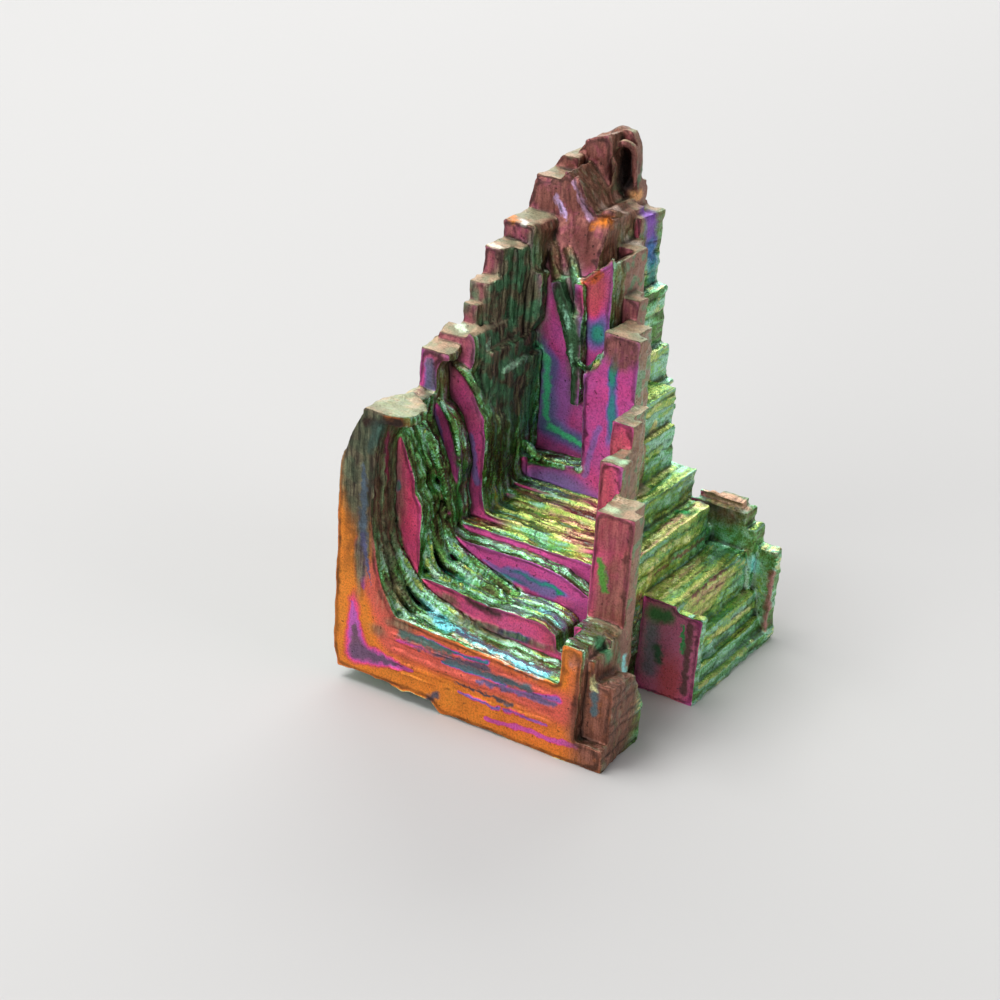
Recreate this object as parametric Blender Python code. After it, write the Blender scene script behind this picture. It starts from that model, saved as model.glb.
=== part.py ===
"""Bismuth hopper crystal: one stepped, skeletal crystal that rests on its own flat feet.

Lengths are in millimetres, measured from the lower right corner of the front face: X runs to
the right, Y runs back and Z runs up. The crystal is what three stepped reliefs have in common:
  * the front relief, a stack of upright plates, each further back and further in than the last;
  * the side relief, a stack of plates that step down towards the right hand face;
  * the outline, the overall shape seen from the front.
The terraced pockets of the left, rear and under faces are cut out of it at the end.
"""
import bpy
import bmesh
from mathutils import Matrix, Vector

MM = 0.001

# Overall box
LEFT = -24.3
RIGHT = 1.3
DEPTH = 28.3
HEIGHT = 41.2
BEYOND = 4.0                # how far the reliefs run past the box that trims them
STAGGER = 0.05              # each relief plate runs this much further than the one before

# Front hopper: how far each of its planes stands behind the front face
LEDGE_1 = 3.2
LEDGE_2 = 6.6
LEDGE_3 = 9.5
THROAT = 15.6
BACK_WALL = 17.7
BROW = 20.3
CREST = 24.2
PEAK = 26.2

# Front hopper: heights of its floors
FLOOR_0 = 6.5
FLOOR_1 = 8.9
FLOOR_2 = 11.8
FLOOR_3 = 12.9

# Narrow floors that climb from the third ledge to the throat: distance back, top
STAIR = [(8.0, 12.4), (11.2, 13.2), (12.8, 13.7), (14.2, 14.1)]

# The two pillars that run down into the hopper as tapering blades
FIRST_BLADE = 7.8
SECOND_BLADE = 9.6

# Pillars of the left edge above them, climbing to the crest: distance back, right edge, top
PILLAR_LEFT = -21.0
LEFT_PILLARS = [
    (11.2, -19.7, 29.3), (12.1, -19.3, 30.9), (13.8, -19.2, 33.3), (16.6, -18.2, 34.8),
    (20.5, -18.5, 37.7), (23.2, -18.4, 38.9),
]

# Pillars of the right ridge: distance back, left edge, right edge, top
RIDGE_PILLARS = [
    (5.2, -4.7, -1.3, 18.6), (8.6, -6.4, -4.4, 20.9), (11.8, -7.4, -5.4, 22.9),
    (15.6, -10.7, -7.5, 28.1), (19.5, -11.5, -9.8, 29.8), (21.8, -13.1, -11.4, 33.0),
    (24.5, -15.6, -13.4, 35.4),
]
RIDGE_FACE = 1.4            # depth of a ridge pillar before its side steps in
RIDGE_STEP = 0.9            # how far it steps in

# Flutes between the left arm and the throat: distance back, right edge, top
FLUTES = [(11.0, -17.9, 25.8), (12.8, -17.6, 24.2), (14.4, -17.4, 24.4), (16.2, -17.2, 24.4)]

# Curtain of flutes above them: distance back, right edge, foot, top
CURTAIN = [
    (13.0, -19.2, 24.6, 31.0), (15.2, -18.5, 25.4, 33.2), (16.7, -17.3, 27.4, 31.0),
    (17.2, -18.0, 28.0, 34.4),
]

# Staircase of the right hand face: right edge, front edge, rear edge, top
FULL = "full"
SIDE_STEPS = [
    (-14.3, FULL, FULL, HEIGHT + BEYOND), (-12.8, FULL, FULL, 34.8), (-11.8, FULL, FULL, 28.5),
    (-11.1, FULL, FULL, 23.4), (-10.3, FULL, FULL, 20.6), (-9.5, FULL, FULL, 19.0),
    (-8.6, FULL, 25.2, 21.2), (-8.0, FULL, 24.6, 18.2), (-6.0, FULL, 25.2, 14.6),
    (-4.0, 9.6, 24.6, 12.1), (-4.4, 9.6, FULL, 9.6), (-1.0, 13.5, FULL, 8.2), (0.0, 13.5, FULL, 4.5),
    (0.7, 13.5, FULL, 2.2), (RIGHT, 13.5, FULL, 1.0), (RIGHT, 13.5, 14.4, 7.6),
    (-2.2, 26.9, FULL, 12.0), (-1.4, 26.2, FULL, 11.5), (-0.5, 26.3, FULL, 10.1), (RIGHT, 26.9, FULL, 8.4),
]

# Terraced pockets, outermost step first: low corner, high corner
LEFT_POCKETS = [
    ((7.5, 3.5), (26.0, 19.0), -23.5), ((9.2, 5.0), (24.6, 17.6), -22.7),
    ((11.2, 6.6), (23.0, 16.0), -21.9), ((13.4, 8.2), (21.2, 14.4), -21.1),
    ((16.8, 24.2), (26.8, 31.6), -20.3), ((18.2, 25.4), (25.6, 30.2), -19.6),
    ((19.6, 26.6), (24.4, 29.0), -18.9),
]
REAR_POCKETS = [
    ((-21.6, 4.0), (-4.6, 20.2), 27.4), ((-19.8, 5.6), (-6.2, 18.4), 26.6),
    ((-18.0, 7.2), (-8.2, 16.6), 25.8), ((-16.0, 8.8), (-10.4, 14.8), 25.0),
    ((-19.6, 22.4), (-13.0, 33.0), 27.6), ((-18.6, 23.8), (-14.0, 31.4), 27.0),
    ((-17.6, 25.2), (-15.0, 29.8), 26.4),
]
UNDER_POCKETS = [
    ((-12.6, 4.0), (-4.6, 24.6), 0.8), ((-20.6, 6.2), (-6.0, 18.6), 1.8),
    ((-18.8, 8.2), (-7.8, 17.0), 2.6), ((-17.0, 10.2), (-9.8, 15.2), 3.4),
]
SHOULDER_STEPS = [(6.2, -23.4, 18.8), (7.4, -22.6, 20.4), (5.6, -22.6, 22.4), (10.9, -21.0, 22.2)]
CREST_STEPS = [(27.7, 35.2), (27.1, 37.0), (28.0, 31.0)]

plate_count = 0


def overrun():
    """How far the next relief plate runs past the box, so that no two plates share a plane."""
    global plate_count
    plate_count += 1
    return BEYOND + STAGGER * plate_count


def prism(outline, axis, start, end):
    """A closed prism: an outline in the plane across the axis, run from start to end."""
    place = {
        "X": lambda a, b: Vector((start, a, b)),
        "Y": lambda a, b: Vector((a, start, b)),
        "Z": lambda a, b: Vector((a, b, start)),
    }[axis]
    along = Vector([end - start if axis == name else 0 for name in "XYZ"])
    bm = bmesh.new()
    face = bm.faces.new([bm.verts.new(place(a, b) * MM) for a, b in outline])
    grown = bmesh.ops.extrude_face_region(bm, geom=[face])
    moved = [item for item in grown["geom"] if isinstance(item, bmesh.types.BMVert)]
    bmesh.ops.translate(bm, verts=moved, vec=along * MM)
    bmesh.ops.recalc_face_normals(bm, faces=bm.faces)
    mesh = bpy.data.meshes.new("prism")
    bm.to_mesh(mesh)
    bm.free()
    solid = bpy.data.objects.new("prism", mesh)
    bpy.context.scene.collection.objects.link(solid)
    return solid


def rectangle(low, high):
    return [(low[0], low[1]), (high[0], low[1]), (high[0], high[1]), (low[0], high[1])]


def combine(body, tools, operation):
    """Apply one exact Boolean of the body with all the tools, then drop the tools."""
    group = bpy.data.collections.new("tools")
    bpy.context.scene.collection.children.link(group)
    for tool in tools:
        bpy.context.scene.collection.objects.unlink(tool)
        group.objects.link(tool)
    step = body.modifiers.new("combine", "BOOLEAN")
    step.operation = operation
    step.solver = "EXACT"
    step.operand_type = "COLLECTION"
    step.collection = group
    graph = bpy.context.evaluated_depsgraph_get()
    mesh = bpy.data.meshes.new_from_object(body.evaluated_get(graph))
    body.modifiers.clear()
    body.data = mesh
    for tool in tools:
        bpy.data.objects.remove(tool)
    bpy.data.collections.remove(group)
    return body


def front_plate(top_edge, depth):
    """An upright plate that faces forward; top_edge runs from its left end to its right end."""
    extra = overrun()
    left, right = LEFT - extra, RIGHT + extra
    edge = [(left if a == "left" else right if a == "right" else a, b) for a, b in top_edge]
    return prism([(left, -extra)] + edge + [(edge[-1][0], -extra)], "Y", depth, DEPTH + extra)


def left_arm(depth, right, top):
    return front_plate([("left", top), (right, top)], depth)


def side_plate(right, front, rear, top):
    extra = overrun()
    near = -extra if front == FULL else front
    far = DEPTH + extra if rear == FULL else rear
    return prism(rectangle((near, -extra), (far, top)), "X", LEFT - extra, right)


def hopper_plates():
    """The L shaped terraces of the front hopper, outermost first."""
    return [
        front_plate([("left", 23.0), (-20.8, 22.8), (-21.2, 20.0), (-21.2, 14.6), (-20.6, 11.3),
                     (-19.8, 9.0), (-18.6, 7.0), (-13.4, 6.8), (-8.9, FLOOR_0), (-3.8, 6.2),
                     (-3.8, 9.7), (-2.0, 9.7), (-2.0, 2.0), ("right", 2.0)], 0.0),
        front_plate([("left", 22.9), (-21.9, 22.9), (-21.3, 21.3), (-20.5, 19.9), (-20.0, 18.4),
                     (-19.4, 17.2), (-19.4, 16.1), (-18.7, 15.2), (-18.6, 9.3), (-16.7, 9.2),
                     (-12.9, FLOOR_1),
                     (-7.2, FLOOR_1), (-6.0, 8.3), (-5.8, 7.0), (-4.6, 7.0), (-4.6, 9.7), (-2.4, 9.7),
                     ("right", 7.2)], LEDGE_1),
        front_plate([("left", 22.0), (-21.7, 22.0), (-20.9, 20.3), (-20.2, 19.3), (-19.7, 18.4),
                     (-19.3, 17.5), (-18.6, 15.5), (-18.0, 13.6), (-18.0, 12.2), (-17.0, 11.8),
                     (-10.6, FLOOR_2), (-7.9, 11.5), (-5.2, 10.4), ("right", 10.4)], LEDGE_2),
        front_plate([("left", FLOOR_3), ("right", FLOOR_3)], LEDGE_3),
        front_plate([("left", 15.4), (-17.6, 15.8), (-11.8, 16.2), (-12.2, 24.2), (-11.6, 24.6),
                     (-10.8, 25.4), (-10.6, 27.9), (-7.4, 28.1)], THROAT),
        front_plate([("left", 30.0), (-17.6, 30.6), (-14.1, 31.1), (-11.5, 33.0), (-11.3, 26.0),
                     ("right", 26.0)], BACK_WALL),
        front_plate([("left", 36.8), (-18.6, 37.4), (-17.8, 38.6), (-16.4, 37.2), (-15.3, 35.4),
                     (-13.6, 36.2), (-13.1, 29.0), ("right", 29.0)], BROW),
        front_plate([("left", 38.0), (-19.3, 38.8), (-18.3, 40.2), (-16.1, HEIGHT - 0.2), (-15.7, 35.3),
                     ("right", 35.3)], CREST),
        front_plate([("left", 38.0), (-19.3, 38.8), (-18.3, 40.2), (-16.6, HEIGHT), (-15.3, 41.0),
                     (-14.6, 40.0), (-14.4, 36.4), ("right", 36.4)], PEAK),
    ]


def blades():
    """The first two pillars of the left edge, each with the blade it sends down into the hopper."""
    return [
        front_plate([("left", 26.1), (-19.9, 26.1), (-19.9, 25.6), (-20.6, 25.3), (-20.9, 24.5),
                     (-20.7, 22.0), (-20.0, 21.4), (-19.4, 20.8), (-18.8, 19.3), (-18.3, 17.3),
                     (-18.4, 15.3)], FIRST_BLADE),
        front_plate([("left", 27.0), (-19.8, 27.0), (-19.3, 27.6), (-18.8, 27.2), (-18.7, 25.4),
                     (-19.1, 24.1), (-18.7, 22.8), (-18.1, 21.7), (-17.5, 20.8), (-17.2, 19.2),
                     (-17.2, 14.9), (-16.8, 13.2), (-16.6, 12.5)], SECOND_BLADE),
        prism([(FIRST_BLADE, 25.8), (FIRST_BLADE, 26.1), (9.7, 26.5), (9.7, 25.8)], "X", LEFT, -19.9),
        prism([(SECOND_BLADE, 26.8), (SECOND_BLADE, 27.0), (11.3, 27.8), (11.3, 26.8)], "X", LEFT, -19.4),
    ]


def hanging_plates():
    """The cap over the outer arm, the finger that hangs in the throat and the V that feeds it."""
    cap_outline = [(-22.5, 0.1), (-20.4, 0.1), (-19.3, 0.5), (-18.7, 1.2), (-18.5, 2.9), (-19.9, 4.4),
                   (-21.4, 5.4), (-22.5, 2.8)]
    cap = prism(cap_outline, "Z", 22.6, 23.5)
    inside = BACK_WALL + 1
    finger_outline = [(-15.0, 27.9), (-13.6, 28.2), (-13.3, 25.4), (-13.3, 24.3), (-13.1, 20.9),
                      (-13.9, 20.8), (-14.1, 24.0), (-14.7, 25.2)]
    finger = prism(finger_outline, "Y", 16.9, inside)
    left_branch = prism([(-16.7, 30.4), (-15.7, 30.8), (-14.4, 28.0), (-15.4, 27.2)], "Y", 17.0, inside)
    right_branch = prism([(-14.5, 30.8), (-13.8, 30.9), (-13.4, 27.8), (-14.3, 27.6)], "Y", 17.1, inside)
    curtain = [
        prism([(LEFT - i, foot - 2), (LEFT - i, top), (right, top), (right, foot), (right - 1.2, foot - 2)],
              "Y", depth, DEPTH + BEYOND + i)
        for i, (depth, right, foot, top) in enumerate(CURTAIN)
    ]
    return [cap, finger, left_branch, right_branch] + curtain


def corner_block():
    """The stub that closes the hopper at the lower right corner, seen from the front."""
    extra = overrun()
    far = RIGHT + extra
    outline = [(-3.0, -extra), (-3.0, 8.6), (-1.4, 8.6), (0.0, 7.0), (far, 7.0), (far, -extra)]
    return prism(outline, "Y", 0.9, DEPTH + extra)


def brow_slope():
    """The leaning wall that leads from the back wall of the throat up to the brow."""
    extra = overrun()
    rear = DEPTH + extra
    profile = [(BACK_WALL, -extra), (BACK_WALL, 30.4), (BROW, 35.2), (rear, 35.2), (rear, -extra)]
    return prism(profile, "X", -18.3, -13.4)


def front_relief():
    plates = hopper_plates() + blades() + hanging_plates() + [corner_block(), brow_slope()]
    plates += [front_plate([("left", top), ("right", top)], depth) for depth, top in STAIR]
    plates += [left_arm(*pillar) for pillar in LEFT_PILLARS + FLUTES]
    for depth, left, right, top in RIDGE_PILLARS:
        extra = overrun()
        plates.append(prism(rectangle((left, -extra), (RIGHT + extra, top)), "Y", depth, DEPTH + extra))
    return combine(plates[0], plates[1:], "UNION")


def side_relief():
    corner = [(-BEYOND, -BEYOND), (-BEYOND, 7.2), (4.2, 6.6), (6.0, 3.6), (6.0, -BEYOND)]
    plates = [prism(corner, "X", LEFT - 1, 0.35)]
    backs = [pillar[0] for pillar in RIDGE_PILLARS[1:]] + [DEPTH - 0.6]
    for (depth, left, right, top), back in zip(RIDGE_PILLARS, backs):
        plates.append(side_plate(right, FULL, depth + RIDGE_FACE, top))
        plates.append(side_plate(right - RIDGE_STEP, FULL, back, top))
    plates += [side_plate(*step) for step in SIDE_STEPS]
    return combine(plates[0], plates[1:], "UNION")


def outline_block():
    """The overall shape from the front: left arm, staircase of caps, peak and right hand block."""
    outline = [(LEFT, 0.0), (LEFT, 18.5), (-23.5, 21.0), (-22.7, 22.6), (-22.5, 23.6), (-22.5, 26.6),
               (-22.1, 26.6), (-22.1, 28.2), (PILLAR_LEFT, 28.2), (PILLAR_LEFT, 35.0), (-20.6, 37.7),
               (-20.0, 38.8), (-18.9, 40.2), (-17.0, HEIGHT), (-15.2, HEIGHT), (-14.4, 40.0),
               (-14.2, 35.4), (RIGHT, 35.4), (RIGHT, 0.0)]
    return prism(outline, "Y", -1.0, DEPTH)


def pockets():
    """Cutters for the terraces that the front and the side don't show."""
    cutters = [prism(rectangle(low, high), "X", LEFT - 1, floor) for low, high, floor in LEFT_POCKETS]
    cutters += [prism(rectangle(low, high), "Y", floor, DEPTH + 1) for low, high, floor in REAR_POCKETS]
    cutters += [prism(rectangle(low, high), "Z", -1, floor) for low, high, floor in UNDER_POCKETS]
    for front, right, low in SHOULDER_STEPS:
        shoulder = rectangle((LEFT - 1, low), (right, HEIGHT + 1))
        cutters.append(prism(shoulder, "Y", front, DEPTH + 1 + front * STAGGER))
    for front, low in CREST_STEPS:
        cutters.append(prism(rectangle((LEFT - 1, low), (-13.3, HEIGHT + 1)), "Y", front, DEPTH + 1))
    raised = [(LEFT - 1, -1.0), (LEFT - 1, 3.2), (LEFT, 2.6), (-23.8, 1.0), (-14.9, 1.0), (-13.9, 0.0),
              (-13.9, -1.0)]
    cutters.append(prism(raised, "Y", -2.0, 19.4))
    return cutters


def oxide():
    """Metal with a thin, iridescent oxide skin."""
    material = bpy.data.materials.new("bismuth_oxide")
    material.use_nodes = True
    shader = material.node_tree.nodes["Principled BSDF"]
    shader.inputs["Base Color"].default_value = (0.42, 0.2, 0.32, 1.0)
    shader.inputs["Metallic"].default_value = 1.0
    shader.inputs["Roughness"].default_value = 0.32
    return material


def build_crystal():
    crystal = front_relief()
    combine(crystal, [side_relief()], "INTERSECT")
    combine(crystal, [outline_block()], "INTERSECT")
    combine(crystal, pockets(), "DIFFERENCE")
    crystal.name = "bismuth_crystal"
    crystal.data.name = "bismuth_crystal"
    crystal.data.materials.clear()
    crystal.data.materials.append(oxide())
    return crystal


for leftover in list(bpy.data.objects):
    bpy.data.objects.remove(leftover)

# The origin is the middle of the box that the crystal stands on
shift = Vector((-(LEFT + RIGHT) / 2, -DEPTH / 2, 0.0)) * MM
build_crystal().data.transform(Matrix.Translation(shift))
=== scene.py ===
from math import cos, radians, sin
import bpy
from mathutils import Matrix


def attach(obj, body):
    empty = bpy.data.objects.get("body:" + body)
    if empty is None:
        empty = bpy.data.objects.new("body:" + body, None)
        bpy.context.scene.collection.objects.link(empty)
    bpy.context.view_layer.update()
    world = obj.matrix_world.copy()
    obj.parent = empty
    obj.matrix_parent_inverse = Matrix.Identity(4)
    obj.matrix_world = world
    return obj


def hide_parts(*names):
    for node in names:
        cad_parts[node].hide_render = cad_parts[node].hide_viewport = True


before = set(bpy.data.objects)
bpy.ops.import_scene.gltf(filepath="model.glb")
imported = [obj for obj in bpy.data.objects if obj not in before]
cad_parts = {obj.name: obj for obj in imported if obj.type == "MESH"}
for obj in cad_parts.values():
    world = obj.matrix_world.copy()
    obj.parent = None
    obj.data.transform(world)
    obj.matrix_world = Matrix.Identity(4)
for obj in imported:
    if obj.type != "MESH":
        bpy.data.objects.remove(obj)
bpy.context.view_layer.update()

from types import SimpleNamespace

import bpy
import numpy as np
from mathutils import Matrix, Vector

# Everything below is laid out in millimetres from the crystal's lower right front corner
mm = 0.001
frontCorner = np.array([11.5, -14.15, 0.0])


def selectOnly(piece):
    bpy.ops.object.select_all(action="DESELECT")
    piece.select_set(True)
    bpy.context.view_layer.objects.active = piece


def applyModifier(piece, kind, **values):
    selectOnly(piece)
    modifier = piece.modifiers.new(kind.lower(), kind)
    for name, value in values.items():
        setattr(modifier, name, value)
    bpy.ops.object.modifier_apply(modifier=modifier.name)


def readPoints(mesh):
    flat = np.empty(len(mesh.vertices) * 3)
    mesh.vertices.foreach_get("co", flat)
    return flat.reshape(-1, 3) / mm - frontCorner


def writePoints(mesh, points):
    mesh.vertices.foreach_set("co", ((points + frontCorner) * mm).ravel())
    mesh.update()


def storePoints(mesh, name, kind, field, values):
    # keeps a value at each point for the material to read
    flat = np.ascontiguousarray(values, dtype=np.float32).ravel()
    mesh.attributes.new(name, kind, "POINT").data.foreach_set(field, flat)


def readNormals(mesh):
    flat = np.empty(len(mesh.vertices) * 3)
    mesh.vertex_normals.foreach_get("vector", flat)
    return flat.reshape(-1, 3)


def readEdges(mesh):
    flat = np.empty(len(mesh.edges) * 2, dtype=np.int32)
    mesh.edges.foreach_get("vertices", flat)
    return flat.reshape(-1, 2)


def relax(values, edges, rounds):
    # each round moves every value to the mean of its neighbours
    count = len(values)
    a, b = edges[:, 0], edges[:, 1]
    share = np.bincount(a, minlength=count) + np.bincount(b, minlength=count)
    share = np.maximum(share, 1)
    for _ in range(rounds):
        total = [
            np.bincount(a, values[b, k], count) + np.bincount(b, values[a, k], count)
            for k in range(values.shape[1])
        ]
        values = np.stack(total, axis=1) / share[:, None]
    return values


def ramp(value, low, high):
    t = np.clip((value - low) / (high - low), 0.0, 1.0)
    return t * t * (3.0 - 2.0 * t)


def scatter(i, j, k, seed):
    # a repeatable number from 0 to 1 for each whole-number cell
    n = (i * 374761393 + j * 668265263 + k * 2147483647 + seed * 1274126177) & 0xFFFFFFFF
    n = ((n ^ (n >> 13)) * 1274126177) & 0xFFFFFFFF
    return ((n ^ (n >> 16)) & 0xFFFF) / 65535.0


def softNoise(points, size, seed):
    # smooth noise from -1 to 1 with lumps of the given size
    q = points / size
    cell = np.floor(q).astype(np.int64)
    f = q - cell
    f = f * f * (3.0 - 2.0 * f)
    total = np.zeros(len(points))
    for corner in np.ndindex(2, 2, 2):
        near = np.where(corner, f, 1 - f)
        total += near[:, 0] * near[:, 1] * near[:, 2] * scatter(*(cell + corner).T, seed)
    return total * 2.0 - 1.0


def growthBars(across, along, width, length, seed):
    # rows of long bars of uneven width that swell and fade: gives the bar's height at each point,
    # and how near the point is to the bar's crown
    rng = np.random.default_rng(seed)
    edges = np.cumsum(width * rng.uniform(0.4, 1.8, 400)) - 60 * width
    rowLength = length * rng.uniform(0.5, 1.7, 401)
    rowShift = rng.uniform(50.0, 90.0, 401)
    height = np.zeros(len(across))
    for shift in (-0.06, 0.0, 0.06):
        row = np.searchsorted(edges, across + shift)
        place = (along + rowShift[row]) / rowLength[row]
        cell = np.floor(place).astype(np.int64)
        near = scatter(row.astype(np.int64), cell, cell * 0 + 7, seed)
        far = scatter(row.astype(np.int64), cell + 1, cell * 0 + 7, seed)
        height += (near + (far - near) * ramp(place - cell, 0.25, 0.75)) / 3.0
    row = np.searchsorted(edges, across)
    low, high = edges[np.maximum(row - 1, 0)], edges[np.minimum(row, 399)]
    inside = np.clip((across - low) / (high - low), 0.0, 1.0)
    return height, 4.0 * inside * (1.0 - inside)


growth = {
    "voxel": 0.13,            # mm, the grain that the surface is worked in
    "rimLift": 0.08,          # mm, how far growing edges stand proud
    "waver": 0.10,            # mm, how far straight edges wander
    "ragged": 0.07,           # mm, how uneven they are close up
    "crumple": 0.09,          # mm, roughness of ledges and walls
    "triangles": 190000,
    # bars: width, length and relief in mm
    "innerWalls": (0.34, 8.0, 0.24),
    "ledges": (0.52, 4.0, 0.32),
    "slabs": (1.15, 9.0, 0.20),
    "armStreaks": (0.36, 8.0, 0.22),
    "armLines": (0.34, 4.5, 0.20),
    "flutes": (0.45, 9.0, 0.30),
    "furrows": (0.95, 9.0, 0.30),
    "strands": (0.17, 2.2, 0.12),
}

# rounded folds, lips and bent ropes over the corners, the throat and the spire: radius, then the way
folds = {
    "spireFold": (0.34, [(-16.9, 20.4, 38.3), (-16.5, 20.4, 37.6), (-15.8, 20.4, 36.3), (-14.8, 20.4, 35.3)]),
    "spireLip": (0.30, [(-14.8, 20.4, 35.3), (-14.0, 20.4, 36.0), (-13.3, 20.8, 36.0), (-12.9, 21.6, 35.7)]),
    "leftFold": (0.30, [(-18.9, 20.4, 37.0), (-18.0, 20.4, 35.6), (-17.3, 20.4, 34.2), (-17.0, 20.5, 33.0)]),
    "middleFold": (0.24, [(-17.3, 20.4, 36.6), (-16.9, 20.4, 35.6), (-16.3, 20.4, 34.7)]),
    "crimsonLip": (0.26, [(-11.6, 17.8, 33.4), (-11.8, 17.8, 32.9), (-12.6, 17.8, 32.1), (-13.4, 17.8, 31.5),
                          (-14.0, 17.8, 30.7), (-14.0, 17.8, 29.4)]),
    "leftBranch": (0.36, [(-18.5, 19.4, 33.6), (-17.8, 18.95, 32.8), (-17.0, 18.3, 31.7),
                          (-16.3, 17.7, 30.4), (-15.8, 17.5, 29.0), (-15.3, 17.3, 27.8),
                          (-14.7, 17.2, 26.4), (-14.3, 17.1, 25.2)]),
    "rightBranch": (0.27, [(-16.3, 18.9, 32.7), (-15.5, 18.5, 32.0), (-14.8, 18.0, 31.0), (-14.4, 17.6, 30.0),
                           (-14.2, 17.4, 28.5), (-14.1, 17.3, 26.6)]),
    "cupLip": (0.24, [(-10.9, 15.7, 26.2), (-11.3, 15.8, 25.2), (-12.0, 16.2, 24.5), (-13.2, 16.8, 24.4),
                      (-13.9, 17.1, 24.6)]),
    "hollowRim": (0.27, [(-17.0, 24.6, 36.6), (-16.9, 24.8, 38.2), (-16.5, 25.0, 39.5), (-15.6, 25.3, 40.3),
                         (-14.8, 25.6, 40.1), (-14.5, 25.8, 39.0), (-14.4, 25.8, 36.8)]),
    "throatKnob": (0.42, [(-17.0, 15.5, 17.2), (-16.3, 15.4, 16.5), (-15.4, 15.4, 16.1)]),
    "throatLip": (0.24, [(-17.6, 15.6, 15.6), (-14.9, 15.6, 15.9), (-11.9, 15.6, 16.2)]),
    "secondBladeRope": (0.28, [(-20.3, 9.4, 24.8), (-19.5, 9.4, 24.5), (-18.8, 9.45, 23.75),
                               (-18.2, 9.5, 22.85), (-17.6, 9.5, 21.75)]),
    "firstBladeRope": (0.30, [(-20.5, 7.7, 22.5), (-19.85, 7.7, 21.75), (-19.2, 7.7, 20.9),
                              (-18.6, 7.7, 19.4), (-18.25, 7.7, 17.55)]),
    "wallRope": (0.34, [(-20.7, 6.1, 20.3), (-20.15, 6.2, 19.5), (-19.5, 6.2, 18.35), (-18.85, 6.3, 16.85),
                        (-18.35, 6.3, 15.3), (-17.95, 6.3, 13.4)]),
    "backCorner": (0.46, [(-18.6, 6.2, 14.2), (-18.6, 6.2, 12.9), (-17.9, 6.2, 11.3), (-16.7, 6.2, 10.7),
                          (-15.2, 6.2, 10.0), (-13.4, 6.2, 9.5), (-11.4, 6.2, 8.9)]),
    "midCorner": (0.46, [(-18.8, 5.3, 14.6), (-18.7, 5.3, 12.6), (-18.2, 5.3, 10.9), (-17.3, 5.3, 10.0),
                         (-15.6, 5.3, 9.5), (-13.6, 5.3, 9.2), (-11.5, 5.3, 8.8)]),
    "nearCorner": (0.40, [(-18.9, 4.3, 13.6), (-18.7, 4.3, 11.2), (-18.3, 4.3, 10.0), (-17.4, 4.3, 9.4),
                          (-15.0, 4.3, 9.0)]),
    "sillCorner": (0.55, [(-21.3, 2.8, 13.6), (-20.7, 2.8, 11.2), (-19.4, 2.8, 9.2), (-17.6, 2.8, 7.8),
                          (-15.4, 2.8, 7.1), (-12.8, 2.8, 6.7)]),
    "sillRope": (0.34, [(-21.2, 1.8, 13.2), (-20.6, 1.8, 11.2), (-19.6, 1.8, 8.9), (-18.2, 1.8, 7.2),
                        (-15.8, 1.8, 6.9), (-13.0, 1.8, 6.7)]),
    "outerRope": (0.26, [(-21.1, 0.8, 13.0), (-20.5, 0.8, 11.0), (-19.6, 0.8, 8.8), (-18.5, 0.8, 7.1),
                         (-16.0, 0.8, 6.9)]),
}

# folds without strands
smoothFolds = ("spireFold", "spireLip", "leftFold", "middleFold", "crimsonLip", "hollowRim")


def growFolds(crystal):
    pieces = [crystal]
    for name, (radius, points) in folds.items():
        curve = bpy.data.curves.new(name, "CURVE")
        curve.dimensions = "3D"
        spline = curve.splines.new("NURBS")
        spline.points.add(len(points) - 1)
        for k, (point, place) in enumerate(zip(spline.points, points)):
            point.co = (*((np.array(place) + frontCorner) * mm), 1.0)
            point.radius = 0.45 if k in (0, len(points) - 1) else 1.0
        spline.order_u, spline.use_endpoint_u, spline.resolution_u = 3, True, 8
        curve.bevel_depth, curve.bevel_resolution, curve.use_fill_caps = radius * mm, 3, True
        fold = bpy.data.objects.new(name, curve)
        bpy.context.collection.objects.link(fold)
        selectOnly(fold)
        bpy.ops.object.convert(target="MESH")
        pieces.append(bpy.context.view_layer.objects.active)
    bpy.ops.object.select_all(action="DESELECT")
    for piece in pieces:
        piece.select_set(True)
    bpy.context.view_layer.objects.active = crystal
    bpy.ops.object.join()


def foldWay(points):
    # the rounded way that a fold takes past its points
    corners = np.array(points, dtype=float)
    middles = (corners[:-1] + corners[1:]) / 2.0
    t = np.linspace(0.0, 1.0, 7)[:-1, None]
    bends = [
        (1 - t) ** 2 * middles[k - 1] + 2 * t * (1 - t) * corners[k] + t ** 2 * middles[k]
        for k in range(1, len(corners) - 1)
    ]
    return np.concatenate([corners[:1], *bends, middles[-1:], corners[-1:]])


def strandFolds(points):
    # how far each point belongs to a fold, with the height and crown of the strands that run along it
    rope, height, crown = (np.zeros(len(points)) for _ in range(3))
    for seed, (name, (radius, way)) in enumerate(folds.items()):
        if name in smoothFolds:
            continue
        line = foldWay(way)
        reach = radius + 0.45
        near = np.flatnonzero(np.all((points > line.min(0) - reach) & (points < line.max(0) + reach), axis=1))
        gaps = np.linalg.norm(points[near][:, None] - line[None], axis=2)
        nearest = gaps.argmin(axis=1)
        share = 1.0 - ramp(gaps.min(axis=1), radius + 0.02, radius + 0.24)
        offset = points[near] - line[nearest]
        across = offset @ np.array([0.45, 0.75, -0.5])
        strand, strandCrown = growthBars(across, 0.3 * nearest, *growth["strands"][:2], 80 + seed)
        stronger = share > rope[near]
        chosen = near[stronger]
        rope[chosen], height[chosen], crown[chosen] = share[stronger], strand[stronger], strandCrown[stronger]
    return rope, height, crown


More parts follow.
